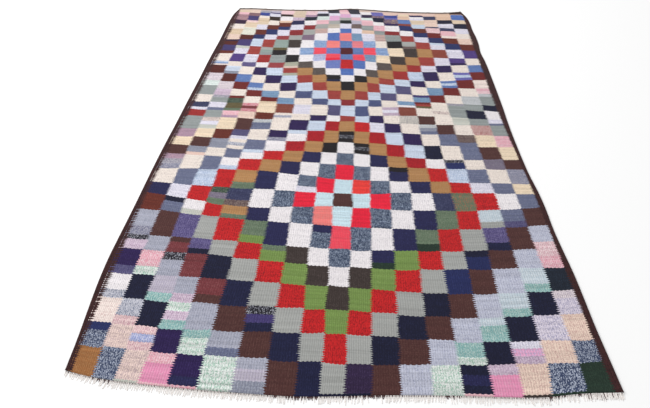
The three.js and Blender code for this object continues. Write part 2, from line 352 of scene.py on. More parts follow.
FAR_MEDALLION = Medallion.from_words(24, (
    "oxblood 24",
    "cornflower 23, iris 24, cornflower 25 | cornflower 25",
    "red 22, coral 24, salmon 26 | coral 24, coral_pink 26",
    "blue 21, iris 22, iris_heather 23, steel_heather 25, blue 27"
    " | blue 22, steel_blue 23, steel_heather 25, steel_blue 27",
    "white 27, lilac_white 28 | white 22, cream_yellow 24, cream 25, lilac_white 27",
    "black 20, charcoal_heather 22, black 23, charcoal 25, purple_mauve 26, tan_mauve 27, tan_sage 28,"
    "green_black 29"
    " | black 20, charcoal_heather 22, charcoal 24, black 25, tan_mauve 26, tan_peach 27, brown_heather 28",
    "gold 21, sage_beige 22, sage 23, sage_grey 24, sage_mint 25, sage_grey 30"
    " | gold 24, sage 28, lilac_grey 29",
    "cherry 17, terracotta 21, mauve_red 22, brick 23, terracotta 25, mauve_red 26, cherry 28,"
    "soft_pink 29, pink_lilac 31"
    " | terracotta 20, brick 22, terracotta 23, brick_brown 24, terracotta 26, cherry 27, pink_heather 28,"
    "soft_pink 31",
    "ice_blue 21, white 22, lilac_white 24, ice_blue 25, lilac_white 28, white 29, mint_white 30,"
    "lilac_white 31, pale_pink 32"
    " | ice_blue 20, blue_white 21, lilac_white 26, white 29, mint_white 30, lilac_white 31",
    "slate_purple 16, slate_blue 18, purple_navy 21, purple_heather 22, purple 23, purple_slate 25,"
    "navy_blue 28, deep_blue 29, teal_navy 30, charcoal_navy 32"
    " | slate_blue 17, slate_purple 19, purple_navy 22, purple 24, navy_blue 28, purple_navy 29, dark_navy 30,"
    "dark_purple 31, charcoal_navy 32",
    "cream 24, dark_maroon 26, maroon_brown 29, lilac_mauve 30, mauve 31, lilac_white 32"
    " | cream 24, maroon_brown 26, maroon 27, maroon_brown 28, brick_brown 29, purple_mix 31, white 32",
    "steel_blue 18, cornflower 20, ice_blue 21, blue_white 22, cream_peach 26, cream_mint 27, lilac_white 28,"
    "cream 29, white 30, cream_tan 31, pink_white 32"
    " | steel_blue 19, cornflower 20, royal_lavender 21, cornflower 22, cream_peach 26, soft_pink 27,"
    "pink_cream 28, ice_blue 29, cornflower 30, royal_blue 31, royal_lavender 32",
    "maroon 19, dark_maroon 21, tan_heather 27, tan_cream 29, black_brown 31, cream_tan 32"
    " | maroon 21, cream 27, slate_navy 28, cream_peach 29, tan_cream 30, tan_peach 31, tan_pink 32",
    "cream 18, cream_lilac 20, cream 28, cream_tan 30, lilac_white 31, pale_pink 32"
    " | cream 19, peach_white 20, lilac_white 29, cream_peach 30, lilac_white 31, tan_pink 32",
    "dark_green_heather 17, lilac_pink 18, mint_white 19, dark_plum 29, purple_slate 30, royal_blue 31,"
    "lilac_grey 32"
    " | sage 17, pale_grey 18, pink_white 19, dark_navy 30, slate_navy 31, tan_pink 32",
    "sage 18, mauve_brown 30, brown_mauve 31, grey_heather 32 | sage 18, tan_cream 30, tan_peach 31, tan_pink 32",
    "cream 17, soft_pink 31, cream_peach 32 | dark_navy 17, blue 31, tan_peach 32",
    "tan_cream 32 | tan_pink 32",
))

# Checks whose yarn changes part of the way: the near, middle and far third of each
PATCHES = {
    (3, 0): "pink pink pink_heather",
    (4, 0): "deep_blue purple_navy purple_navy",
    (6, 0): "slate_grey lilac_grey lavender_grey",
    (14, 0): "dark_navy deep_blue dark_navy",
    (15, 0): "pink pink lilac_pink",
    (0, 1): "blue_heather blue_heather navy_blue",
    (2, 1): "pink_cream iris_heather pink_cream",
    (4, 1): "mint_heather mint_heather teal_mint",
    (5, 1): "slate lavender_grey lavender_grey",
    (14, 1): "mint_heather teal_mint teal_mint",
    (16, 1): "lilac_mauve pink_lilac lilac_white",
    (1, 2): "pink_cream slate_white slate_white",
    (3, 2): "teal_mint lilac_pink mint_heather",
    (6, 2): "navy purple_slate black_flecked",
    (15, 2): "teal_mint teal_mint blue_grey",
    (0, 3): "slate_white white white",
    (2, 3): "teal_mint lilac_grey lilac_grey",
    (3, 3): "lilac_pink lavender_grey lavender_grey",
    (4, 3): "brown maroon_mauve maroon_mauve",
    (16, 3): "teal_mint blue_grey blue_grey",
    (18, 3): "lilac_heather lilac_heather cream_lilac",
    (0, 4): "slate_purple purple_navy purple_navy",
    (1, 4): "mint_heather pink_heather pink_heather",
    (2, 4): "lavender_grey lavender_grey black_flecked",
    (17, 4): "teal_mint blue_grey blue_grey",
    (0, 5): "lilac_pink lilac_pink black_flecked",
    (2, 5): "maroon_mauve maroon_mauve brown",
    (3, 5): "dark_navy purple_heather purple_heather",
    (6, 5): "green green green_heather",
    (11, 5): "dark_green deep_blue deep_blue",
    (15, 5): "blue_navy blue_navy dark_navy",
    (18, 5): "pink_heather pink_heather pink_white",
    (0, 6): "slate_heather lavender_grey lavender_grey",
    (5, 6): "green green_heather green_heather",
    (8, 6): "storm_heather storm_heather deep_blue",
    (13, 6): "dark_green green_heather green_heather",
    (16, 6): "navy purple_heather purple_heather",
    (18, 6): "pink_white pale_lavender pale_lavender",
    (1, 7): "slate slate dark_navy",
    (2, 7): "sage_cream white white",
    (4, 7): "green_heather gold gold",
    (16, 7): "sage_grey blue_grey blue_grey",
    (17, 7): "slate_purple slate slate",
    (3, 8): "green_heather slate_mauve dark_green_heather",
    (4, 8): "brown_heather slate_navy slate_navy",
    (4, 9): "green_heather gold gold",
    (7, 9): "lilac_white storm_heather storm_heather",
    (0, 10): "slate_heather grey_heather mauve_heather",
    (3, 10): "blue_white white white",
    (12, 10): "deep_blue deep_blue black",
    (1, 11): "tan_pink slate_grey slate_grey",
    (4, 11): "white white ice_blue",
    (15, 11): "navy_blue navy_blue black_flecked",
    (3, 12): "cream slate_white cream",
    (10, 12): "black black_flecked black",
    (3, 13): "lilac_white slate_purple slate_purple",
    (5, 13): "slate_heather purple_navy purple_navy",
    (6, 13): "white white ice_blue",
    (9, 13): "black black_flecked black",
    (16, 13): "slate brown_heather brown_heather",
    (1, 14): "sage_cream lilac_white cream_dashed",
    (4, 14): "slate slate pale_grey",
    (14, 14): "slate slate_grey pale_grey",
    (2, 15): "mauve pink_heather pink_heather",
    (5, 15): "cream lavender_grey cream",
    (18, 15): "slate lilac_white lilac_white",
    (0, 16): "lilac_white slate_navy slate_navy",
    (1, 16): "slate lilac_white lilac_white",
    (2, 16): "green_heather olive_brown olive_brown",
    (3, 16): "pink_red_heather maroon_mauve pink_red_heather",
    (12, 16): "lilac_mauve lilac_white lilac_mauve",
    (15, 16): "cream cream_dashed cream",
    (1, 17): "sage sage grey_heather",
    (2, 17): "dark_green_heather dark_green_heather maroon",
    (4, 17): "tan_heather maroon maroon",
    (13, 17): "white steel_blue steel_blue",
    (14, 17): "olive_brown terracotta maroon",
    (16, 17): "sage sage grey_heather",
    (14, 18): "steel_blue steel_blue purple_slate",
    (0, 19): "sage mint_white mint_white",
    (3, 19): "blue_white cornflower cornflower",
    (18, 19): "pale_grey pink_white pink_heather",
    (8, 20): "navy black black",
    (16, 20): "cornflower blue_white cornflower",
    (1, 21): "slate_grey ice_blue ice_blue",
    (5, 21): "sage_beige terracotta terracotta",
    (17, 21): "royal_lavender blue_white royal_lavender",
    (0, 22): "peach_white steel_heather blue_white",
    (5, 22): "tan sage_beige sage_beige",
    (8, 23): "crimson coral coral",
    (17, 23): "purple_navy purple purple",
    (0, 24): "maroon_brown purple_slate purple_slate",
    (1, 24): "lilac_white lilac_white sage_cream",
    (3, 24): "sage sage_mint sage_grey",
    (4, 24): "black black olive_brown",
    (0, 25): "dark_maroon dark_maroon dark_plum",
    (14, 25): "brown_heather sage_grey sage_grey",
    (16, 25): "lilac_white lilac_white ice_blue",
    (17, 27): "peach_white soft_pink soft_pink",
    (1, 28): "cream_mint tan_cream tan_cream",
    (4, 28): "navy_blue navy_blue maroon_brown",
    (1, 29): "tan_heather cream_peach pink_white",
    (16, 29): "slate_navy cream_peach cream_peach",
    (2, 30): "tan_heather tan_cream cream",
    (4, 30): "tan_peach white white",
    (0, 31): "mauve_brown soft_pink soft_pink",
    (13, 31): "royal_lavender royal_blue royal_blue",
    (12, 31): "purple_mix purple_mix royal_lavender",
    (14, 31): "tan_peach tan_peach cream_yellow",
    (15, 31): "lilac_white white purple_navy",
    (3, 32): "purple_slate lilac_grey lilac_grey",
    (18, 32): "tan_peach border_brown border_brown",
}

# How far the last lines of checks at the far end stray in each column, in millimetres
FAR_STRAYS = {
    26: (0, 0, 10, 0, 0, 0, 0, 0, 0, 0, 0, 0, 0, 0, 0, 0, 0, 0, 0),
    27: (0, 0, 10, 15, 0, 4, 5, 19, 21, 14, 12, 15, 12, 15, 12, 0, 0, 0, 0),
    28: (0, 0, 0, 6, 0, 0, 0, 9, 13, 5, 10, -12, -8, -6, 9, -10, -5, 32, 0),
    29: (0, 0, 0, -4, -3, 3, -9, 3, -2, 6, 0, -19, -13, -8, 0, -33, -10, 0, 2),
    30: (0, 7, 0, 32, 0, 36, 28, 25, 8, 9, 12, 24, 8, -2, 4, -5, 0, 7, 6),
    31: (0, 0, 12, 4, 12, 0, 13, 23, 36, 7, 15, 14, 19, 3, 2, -5, 5, 6, 10),
    32: (0, 0, 17, 10, 5, 0, 0, 25, 29, 14, 15, 6, 7, 0, 22, 5, -10, 0, 22),
}

# Yarns of the strip past the last row of checks, where they aren't plain tan, by check column
FAR_STRIP = {8: Yarn.CHARCOAL_NAVY, 9: Yarn.SOFT_PINK, 10: Yarn.CHARCOAL_NAVY, 18: Yarn.BORDER_BROWN}

# Yarns of the last wefts at the near end, where they aren't those of the first row of checks, by check column
NEAR_STRIP_ROWS = 0.07
NEAR_STRIP = {
    2: Yarn.SAGE_CREAM, 3: Yarn.SOFT_PINK, 4: Yarn.PINK_HEATHER, 9: Yarn.DARK_NAVY,
    10: Yarn.DARK_NAVY, 14: Yarn.SOFT_PINK, 16: Yarn.CHARCOAL, 17: Yarn.DARK_GREEN,
}


@dataclass(frozen=True)
class Chart:
    """The whole weaving chart: two medallions and the checks whose yarn changes part of the way."""

    near: Medallion
    far: Medallion
    patches: dict[tuple[int, int], tuple[Yarn, ...]]

    @classmethod
    def from_words(cls, near: Medallion, far: Medallion, patches: dict[tuple[int, int], str]) -> "Chart":
        """Builds the chart.

        Args:
            near: The near medallion.
            far: The far medallion.
            patches: Three yarn names for each check that changes part of the way.

        Returns:
            The chart.
        """
        named = {
            check: tuple(Yarn[name.upper()] for name in names.split()) for check, names in patches.items()
        }
        return cls(near, far, named)

    def yarn(self, column: float, row: float) -> Yarn:
        """Finds the yarn at one place of the cloth.

        Args:
            column: Place across in checks; below 0 and from 19 on it is a side border.
            row: Place along in checks; from 33 on it is the strip and the hem of the far end.

        Returns:
            The yarn that shows there.
        """
        if row >= HEM_LINE:
            return Yarn.HEM_BROWN
        if column < 0 or column >= CHECK_COLUMNS:
            return Yarn.BORDER_BROWN
        if row < NEAR_STRIP_ROWS and int(column) in NEAR_STRIP:
            return NEAR_STRIP[int(column)]
        if row >= CHECK_ROWS:
            return FAR_STRIP.get(int(column), Yarn.TAN)
        check = (int(column), int(row))
        patch = self.patches.get(check)
        if patch:
            return patch[int((row - check[1]) * THIRDS)]
        medallion = self.near if check[1] < FAR_MEDALLION_ROW else self.far
        return medallion.yarn(*check)


@dataclass(frozen=True)
class Curve:
    """A smooth line through the rows of a table, straight beyond its ends."""

    places: tuple[float, ...]
    values: tuple[float, ...]

    @classmethod
    def through(cls, rows: dict[float, float], shift: float = 0.0, rise: float = 0.0) -> "Curve":
        """Builds a curve.

        Args:
            rows: Value at each place.
            shift: Added to every place.
            rise: Added to every value.

        Returns:
            The curve.
        """
        ordered = sorted(rows.items())
        return cls(tuple(p + shift for p, _ in ordered), tuple(v + rise for _, v in ordered))

    def slope(self, row: int) -> float:
        """Gives the slope at one table row.

        Args:
            row: Number of the table row.

        Returns:
            The slope of the chord between the rows beside it.
        """
        before, after = max(row - 1, 0), min(row + 1, len(self.places) - 1)
        return (self.values[after] - self.values[before]) / (self.places[after] - self.places[before])

    def at(self, place: float) -> float:
        """Reads the curve.

        Args:
            place: Where to read it.

        Returns:
            The value there.
        """
        last = len(self.places) - 1
        if not self.places[0] <= place <= self.places[last]:
            edge = 0 if place < self.places[0] else last
            return self.values[edge] + self.slope(edge) * (place - self.places[edge])
        row = min(bisect_right(self.places, place) - 1, last - 1)
        width = self.places[row + 1] - self.places[row]
        t = (place - self.places[row]) / width
        first, second = self.slope(row) * width, self.slope(row + 1) * width
        return (
            (2 * t**3 - 3 * t**2 + 1) * self.values[row]
            + (t**3 - 2 * t**2 + t) * first
            + (3 * t**2 - 2 * t**3) * self.values[row + 1]
            + (t**3 - t**2) * second
        )


def lerp(first: float, second: float, share: float) -> float:
    """Gives the value a share of the way from the first to the second."""
    return first + (second - first) * share


def smooth(share: float) -> float:
    """Eases a share from 0 to 1, level at both ends."""
    held = min(max(share, 0.0), 1.0)
    return held * held * (3 - 2 * held)


@dataclass(frozen=True)
class Outline:
    """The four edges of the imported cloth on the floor, in metres."""

    left: Curve
    right: Curve
    near: Curve
    far: Curve

    @classmethod
    def of_cloth(cls, mesh: bpy.types.Mesh) -> "Outline":
        """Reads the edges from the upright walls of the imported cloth.

        Args:
            mesh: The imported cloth's mesh.

        Returns:
            The outline.
        """
        edges: dict[str, dict[float, float]] = {"left": {}, "right": {}, "near": {}, "far": {}}
        for face in mesh.polygons:
            if abs(face.normal.z) > WALL_NORMAL:
                continue
            upright = abs(face.normal.x) > abs(face.normal.y)
            low, high = ("left", "right") if upright else ("near", "far")
            edge = edges[low if face.normal[0 if upright else 1] < 0 else high]
            for number in face.vertices:
                corner = mesh.vertices[number].co
                if corner.z < ON_FLOOR * MM:
                    place, value = (corner.y, corner.x) if upright else (corner.x, corner.y)
                    edge[round(place, 5)] = value
        return cls(*(Curve.through(rows) for rows in edges.values()))

    def near_left(self) -> Vector:
        """Gives the near left corner of the cloth."""
        return Vector((self.left.values[0], self.left.places[0]))


@dataclass(frozen=True)
class Layout:
    """Where the lines between the checks run, in metres."""

    outline: Outline
    columns: tuple[Curve, ...]
    rows: tuple[Curve, ...]

    @classmethod
    def on_outline(cls, outline: Outline) -> "Layout":
        """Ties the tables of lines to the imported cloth.

        Args:
            outline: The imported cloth's outline.

        Returns:
            The layout.
        """
        shift = outline.near_left() - Vector(NEAR_LEFT_CORNER) * MM
        columns = tuple(
            Curve.through({y * MM: xs[line] * MM for y, xs in COLUMN_LINES.items()}, shift.y, shift.x)
            for line in range(CHECK_COLUMNS + 1)
        )
        rows = tuple(
            Curve.through({column: ys[line] * MM for column, ys in ROW_LINES.items()}, 0.0, shift.y)
            for line in range(CHECK_ROWS + 1)
        )
        return cls(outline, columns, rows)

    def across(self, column: float, y: float) -> float:
        """Gives the place across the rug of a column place.

        Args:
            column: Column place in checks, -1 and 20 being the long edges.
            y: Place along the rug.

        Returns:
            Place across, in metres.
        """
        if column < 0:
            return lerp(self.columns[0].at(y), self.outline.left.at(y), -column)
        if column > CHECK_COLUMNS:
            return lerp(self.columns[-1].at(y), self.outline.right.at(y), column - CHECK_COLUMNS)
        line = min(int(column), CHECK_COLUMNS - 1)
        return lerp(self.columns[line].at(y), self.columns[line + 1].at(y), column - line)

    def row_line(self, line: int, column: float, x: float) -> float:
        """Gives the place along the rug of one line between rows.

        Args:
            line: Number of the line; 0 is the near end, 34 the hem's inner side and 35 the far end.
            column: Column place in checks.
            x: Place across the rug.

        Returns:
            Place along, in metres.
        """
        if line == 0:
            return self.outline.near.at(x)
        far = self.outline.far.at(x)
        if line == FAR_LINE:
            return far
        hem = far - HEM_WIDTH * MM
        if line == HEM_LINE:
            return hem
        held = min(max(column, 0.0), float(CHECK_COLUMNS))
        return min(self.rows[line].at(held), hem - (CHECK_ROWS - line + STRIP_SHARE) * LEAST_ROW * MM)

    def along(self, column: float, row: float, x: float) -> float:
        """Gives the place along the rug of a row place.

        Args:
            column: Column place in checks.
            row: Row place in checks.
            x: Place across the rug.

        Returns:
            Place along, in metres.
        """
        line = min(int(row), FAR_LINE - 1)
        return lerp(self.row_line(line, column, x), self.row_line(line + 1, column, x), row - line)

    def spot(self, column: float, row: float) -> Vector:
        """Finds a place of the chart on the floor.

        Args:
            column: Column place in checks, from -1 to 20.
            row: Row place in checks, from 0 to 35.

        Returns:
            The place, in metres.
        """
        x = self.across(column, 0.0)
        for _ in range(3):
            y = self.along(column, row, x)
            x = self.across(column, y)
        return Vector((x, y))


class Shades:
    """Adds shader nodes to one material and wires sockets or plain values into them."""

    def __init__(self, name: str) -> None:
        """Makes the material with its surface shader.

        Args:
            name: The material's name.
        """
        self.material = bpy.data.materials.new(name)
        self.material.use_nodes = True
        self.tree = self.material.node_tree
        self.surface = self.tree.nodes["Principled BSDF"]

    def wire(self, socket: bpy.types.NodeSocket, value: object) -> None:
        """Links a socket to an input, or sets the input's own value.

        Args:
            socket: The input.
            value: A socket or a plain value.
        """
        if isinstance(value, bpy.types.NodeSocket):
            self.tree.links.new(value, socket)
        else:
            socket.default_value = value

    def add(self, kind: str, inputs: dict[object, object], **settings: object) -> bpy.types.ShaderNode:
        """Adds one node.

        Args:
            kind: The node's type name after ShaderNode.
            inputs: Value or socket for each named or numbered input.
            **settings: The node's own settings.

        Returns:
            The node.
        """
        node = self.tree.nodes.new("ShaderNode" + kind)
        for setting, value in settings.items():
            setattr(node, setting, value)
        for key, value in inputs.items():
            self.wire(node.inputs[key], value)
        return node

    def math(self, operation: str, *values: object) -> bpy.types.NodeSocket:
        """Works out one sum.

        Args:
            operation: The Math node's operation.
            *values: Sockets or numbers.

        Returns:
            The result's socket.
        """
        return self.add("Math", dict(enumerate(values)), operation=operation).outputs[0]

    def blend(self, share: object, first: object, second: object, kind: str = "MIX") -> bpy.types.NodeSocket:
        """Blends two colours.

        Args:
            share: How much of the second colour shows.
            first: The first colour.
            second: The second colour.
            kind: The blending.

        Returns:
            The blended colour's socket.
        """
        node = self.add("Mix", {"Factor": share, 6: first, 7: second}, data_type="RGBA", blend_type=kind)
        return node.outputs[2]

    def noise(self, vector: object, scale: float, detail: float = 2.0) -> bpy.types.NodeSocket:
        """Gives soft noise from 0 to 1.

        Args:
            vector: Where it is read.
            scale: Its scale.
            detail: Its detail.

        Returns:
            The noise's socket.
        """
        return self.add("TexNoise", {"Vector": vector, "Scale": scale, "Detail": detail}).outputs["Fac"]

    def scatter(self, *numbers: object) -> bpy.types.NodeSocket:
        """Gives a steady random number from 0 to 1 for up to three numbers.

        Args:
            *numbers: Sockets or numbers.

        Returns:
            The random number's socket.
        """
        joined = self.add("CombineXYZ", dict(enumerate(numbers))).outputs[0]
        return self.add("TexWhiteNoise", {"Vector": joined}, noise_dimensions="3D").outputs["Value"]

    def attribute(self, name: str) -> bpy.types.ShaderNode:
        """Reads one of the mesh's own attributes.

        Args:
            name: The attribute's name.

        Returns:
            The attribute node.
        """
        return self.add("Attribute", {}, attribute_name=name)


def linear(colour: tuple[int, int, int]) -> tuple[float, float, float]:
    """Turns a colour from 0 to 255 as it looks into the linear colour of a shader.

    Args:
        colour: The colour as it looks.

    Returns:
        The linear colour.
    """
    shares = (part / 255 for part in colour)
    return tuple(part / 12.92 if part <= 0.04045 else ((part + 0.055) / 1.055) ** 2.4 for part in shares)


@dataclass(frozen=True)
class WoolFinish:
    """Hand-spun wool, beaten down over the warps so that only the wefts show.

    Attributes:
        tooth_wefts: Wefts in one tooth where two yarns dovetail round a warp.
        bead_rise: Height of one weft over its warp, in metres.
        fibre_rise: Height of the loose fibres, in metres.
        roughness: Roughness of the wool.
        sheen: Strength of its fuzz.
        crown_tone: Brightness of the yarns on the crowns of the ribs, from which the painted shade between ribs
            and between wefts is taken.
        tint: What the light on the wool does to its red, green and blue.
        haze: The faint light that its loose fibres add.
        depth: How much deeper the dark yarns are than the light ones, 1 for the dyes as they are.
    """

    tooth_wefts: float = 2.0
    bead_rise: float = 0.7 * MM
    fibre_rise: float = 0.25 * MM
    roughness: float = 0.94
    sheen: float = 0.04
    crown_tone: float = 0.96
    tint: tuple[float, float, float] = (1.01, 0.99, 1.0)
    haze: tuple[float, float, float, float] = (0.008, 0.006, 0.006, 1.0)
    depth: float = 1.15

    def material(self) -> bpy.types.Material:
        """Builds the cloth's material from the attributes that Cloth writes.

        Returns:
            The material.
        """
        wool = Shades("hand_spun_wool")
        weave = wool.add("SeparateXYZ", {0: wool.attribute("weave").outputs["Vector"]}).outputs
        rib, weft, tooth = weave[0], weave[1], weave[2]
        warp = wool.math("FLOOR", wool.math("ADD", rib, 0.5))
        from_warp = wool.math("ABSOLUTE", wool.math("SUBTRACT", rib, warp))
        odd = wool.math("FLOORED_MODULO", warp, 2.0)
        beads = wool.math("MULTIPLY_ADD", odd, 0.5, weft)
        bead = wool.math("FLOOR", beads)
        from_bead = wool.math("ABSOLUTE", wool.math("SUBTRACT", wool.math("FRACT", beads), 0.5))
        fibres = wool.add("TexCoord", {}).outputs["Object"]
        chance = wool.scatter(wool.math("FLOOR", wool.math("MULTIPLY", rib, 4.0)), bead, 3.0)
        line = wool.math("FLOOR", wool.math("MULTIPLY_ADD", rib, 1.0 / RIBS, 0.5))
        second = self.tooth_mask(wool, weft, tooth, line, chance)
        ground, flecked = self.pair(wool, "yarn", second)
        fleck, banded = self.pair(wool, "fleck", second)
        seed = wool.attribute("seed").outputs["Fac"]
        mottle = self.mottle(wool, rib, weft, seed, chance)
        speckled = wool.add("MapRange", {
            "Value": wool.math("SUBTRACT", wool.math("MULTIPLY", flecked, 1.15), mottle),
            "From Min": -0.1, "From Max": 0.16,
        }).outputs[0]
        colour = wool.add("Gamma", {0: wool.blend(speckled, ground, fleck), 1: self.depth}).outputs[0]
        shade = self.shade(wool, rib, weft, seed, chance, banded)
        # Painted shade in the valleys between the ribs and the gaps between the wefts darkens the colour here.
        shade = wool.math("MULTIPLY", shade, self.hollow_shade(wool, from_warp, from_bead))
        shade = wool.math("MULTIPLY", shade, wool.math("MULTIPLY_ADD", wool.noise(fibres, 900.0), 0.3, 0.85))
        tinted = {part: wool.math("MULTIPLY", shade, share) for part, share in enumerate(self.tint)}
        colour = wool.blend(1.0, colour, wool.add("CombineColor", tinted).outputs[0], "MULTIPLY")
        colour = wool.blend(1.0, colour, self.haze, "ADD")
        wool.wire(wool.surface.inputs["Base Color"], colour)
        self.relief(wool, from_warp, from_bead, fibres)
        wool.surface.inputs["Roughness"].default_value = self.roughness
        wool.surface.inputs["Specular IOR Level"].default_value = 0.06
        wool.surface.inputs["Sheen Weight"].default_value = self.sheen
        wool.surface.inputs["Sheen Roughness"].default_value = 0.6
        return wool.material

    def tooth_mask(self, wool: Shades, weft: object, tooth: object, seed: object,
                   chance: object) -> bpy.types.NodeSocket:
        """Finds where the yarn of the right-hand check shows beside an upright line.

        Args:
            wool: The material being built.
            weft: Weft count along the rug.
            tooth: Place across the dovetailed line, from -1 to 1.
            seed: Random number of the upright line.
            chance: Random number of the bead.

        Returns:
            1 where the right-hand yarn shows, else 0.
        """
        turn = wool.math("DIVIDE", weft, self.tooth_wefts)
        wave = wool.math("ABSOLUTE", wool.math("SUBTRACT", wool.math("FRACT", turn), 0.5))
        own = wool.math("FLOOR", turn)
        reach = wool.math("MULTIPLY_ADD", wool.scatter(own, seed, 5.0), 0.9, 0.45)
        points = wool.math("MULTIPLY", wool.math("MULTIPLY_ADD", wave, 2.8, -0.7), reach)
        shift = wool.math("MULTIPLY_ADD", wool.scatter(own, seed, 6.0), 0.5, -0.25)
        uneven = wool.math("MULTIPLY_ADD", chance, 0.3, wool.math("SUBTRACT", shift, 0.15))
        return wool.math("GREATER_THAN", tooth, wool.math("ADD", points, uneven))

    def pair(self, wool: Shades, name: str, second: object) -> tuple[object, object]:
        """Reads a colour and a number of the left or the right yarn.

        Args:
            wool: The material being built.
            name: The attributes' name before _a or _b.
            second: 1 where the right-hand yarn shows.

        Returns:
            The colour and the number.
        """
        left, right = wool.attribute(name + "_a"), wool.attribute(name + "_b")
        colour = wool.blend(second, left.outputs["Color"], right.outputs["Color"])
        number = wool.add("Mix", {"Factor": second, 2: left.outputs["Alpha"], 3: right.outputs["Alpha"]})
        return colour, number.outputs[0]

    def mottle(self, wool: Shades, rib: object, weft: object, seed: object, chance: object) -> object:
        """Gives the uneven spread of flecks, bead by bead and in soft runs along the wefts.

        Args:
            wool: The material being built.
            rib: Rib count across the rug.
            weft: Weft count along the rug.
            seed: Random number of the check.
            chance: Random number of the bead.

        Returns:
            A number near 0 to 1.
        """
        place = wool.add("CombineXYZ", {0: wool.math("MULTIPLY", rib, 0.35), 1: weft, 2: seed}).outputs[0]
        runs_of_yarn = wool.noise(place, 0.9, 1.0)
        spread = wool.add("MapRange", {"Value": runs_of_yarn, "From Min": 0.25, "From Max": 0.75}).outputs[0]
        return wool.math("MULTIPLY_ADD", chance, 0.84, wool.math("MULTIPLY", spread, 0.16))

    def shade(self, wool: Shades, rib: object, weft: object, seed: object, chance: object,
              banded: object) -> object:
        """Gives the change of shade from weft to weft, from bead to bead and over each check.

        Args:
            wool: The material being built.
            rib: Rib count across the rug.
            weft: Weft count along the rug.
            seed: Random number of the check.
            chance: Random number of the bead.
            banded: How much the shade changes from weft to weft.

        Returns:
            A factor near 1.
        """
        place = wool.add("CombineXYZ", {0: wool.math("MULTIPLY", rib, 0.03), 1: weft, 2: seed}).outputs[0]
        bands = wool.math("SUBTRACT", wool.noise(place, 0.35, 3.0), 0.5)
        by_weft = wool.math("SUBTRACT", wool.scatter(wool.math("FLOOR", weft), seed, 0.0), 0.5)
        by_bead = wool.math("SUBTRACT", chance, 0.5)
        total = wool.math("MULTIPLY", banded, wool.math("MULTIPLY_ADD", by_weft, 0.5, wool.math(
            "MULTIPLY", bands, 2.2)))
        return wool.math("ADD", wool.math("MULTIPLY_ADD", by_bead, 0.14, total), 1.0)

    def hollow_shade(self, wool: Shades, from_warp: object, from_bead: object) -> object:
        """Paints shade into the valleys between the ribs and the gaps between the wefts.

        Args:
            wool: The material being built.
            from_warp: Distance from the nearest warp, in ribs.
            from_bead: Distance from the middle of the nearest bead, in wefts.

        Returns:
            A factor, 1 on the crowns.
        """
        # Painted shade, darkest midway between the warps and at the edges of each bead.
        valley_shade = wool.math("POWER", wool.math("MULTIPLY", from_warp, 2.0), 3.0)
        gap_shade = wool.math("POWER", wool.math("MULTIPLY", from_bead, 2.0), 4.0)
        dark = wool.math("MULTIPLY_ADD", gap_shade, 0.11, wool.math("MULTIPLY", valley_shade, 0.15))
        return wool.math("SUBTRACT", self.crown_tone, dark)

    def relief(self, wool: Shades, from_warp: object, from_bead: object, fibres: object) -> None:
        """Raises each weft over its warp and roughens it with loose fibres.

        Args:
            wool: The material being built.
            from_warp: Distance from the nearest warp, in ribs.
            from_bead: Distance from the middle of the nearest bead, in wefts.
            fibres: Place on the cloth, in metres.
        """
        crown = wool.math("MULTIPLY", wool.math("MULTIPLY", from_warp, from_warp), -4.0)
        round_bead = wool.math("MULTIPLY", wool.math("MULTIPLY", from_bead, from_bead), -3.0)
        height = wool.math("MULTIPLY", wool.math("ADD", crown, round_bead), self.bead_rise)
        fuzz = wool.math("MULTIPLY", wool.noise(fibres, 1400.0, 3.0), self.fibre_rise)
        bump = wool.add("Bump", {"Height": wool.math("ADD", height, fuzz), "Distance": 1.0, "Strength": 0.8})
        wool.wire(wool.surface.inputs["Normal"], bump.outputs[0])


@dataclass(frozen=True)
class WarpFinish:
    """Plied off-white warp ends, some wound with dark yarn at the corners; the same dark colour on the twined row
    and on short strands at the roots is partly real dark yarn and partly painted shade at the roots.
    """

    ground: tuple[int, int, int] = (255, 252, 249)
    # The darker tone: painted shade in the ply grooves, and the tone of the random grime.
    shade_and_grime: tuple[int, int, int] = (236, 223, 216)
    dark_yarn_and_shade_colour: tuple[int, int, int] = (88, 60, 60)
    roughness: float = 0.92

    def material(self) -> bpy.types.Material:
        """Builds the warp ends' material.

        Returns:
            The material.
        """
        warp = Shades("plied_warp_ends")
        place = warp.add("TexCoord", {}).outputs["Object"]
        twist = warp.attribute("twist").outputs["Fac"]
        ply = warp.math("ABSOLUTE", warp.math("SINE", twist))
        # Painted shade in the grooves between the plies of each strand.
        groove_shade = warp.add("MapRange", {"Value": ply, "From Min": 0.0, "From Max": 0.55}).outputs[0]
        light = warp.blend(groove_shade, (*linear(self.shade_and_grime), 1.0), (*linear(self.ground), 1.0))
        grimy = warp.blend(warp.math("MULTIPLY", warp.noise(place, 160.0), 0.3), light,
                           (*linear(self.shade_and_grime), 1.0))
        colour = warp.blend(warp.attribute("wrap").outputs["Fac"], grimy, (*linear(self.dark_yarn_and_shade_colour), 1.0))
        warp.wire(warp.surface.inputs["Base Color"], colour)
        height = warp.math("MULTIPLY_ADD", ply, 0.3 * MM, warp.math(
            "MULTIPLY", warp.noise(place, 2200.0), 0.2 * MM))
        bump = warp.add("Bump", {"Height": height, "Distance": 1.0, "Strength": 0.7})
        warp.wire(warp.surface.inputs["Normal"], bump.outputs[0])
        warp.surface.inputs["Roughness"].default_value = self.roughness
        warp.surface.inputs["Specular IOR Level"].default_value = 0.2
        warp.surface.inputs["Sheen Weight"].default_value = 0.15
        return warp.material


def finished_piece(name: str, shape: bmesh.types.BMesh, material: bpy.types.Material) -> bpy.types.Object:
    """Turns a shape into a named object with one material.

    Args:
        name: The piece's name.
        shape: Its shape, which is freed.
        material: Its material.

    Returns:
        The object, at the origin.
    """
    mesh = bpy.data.meshes.new(name)
    shape.to_mesh(mesh)
    shape.free()
    mesh.materials.append(material)
    mesh.shade_smooth()
    piece = bpy.data.objects.new(name, mesh)
    bpy.context.scene.collection.objects.link(piece)
    return piece


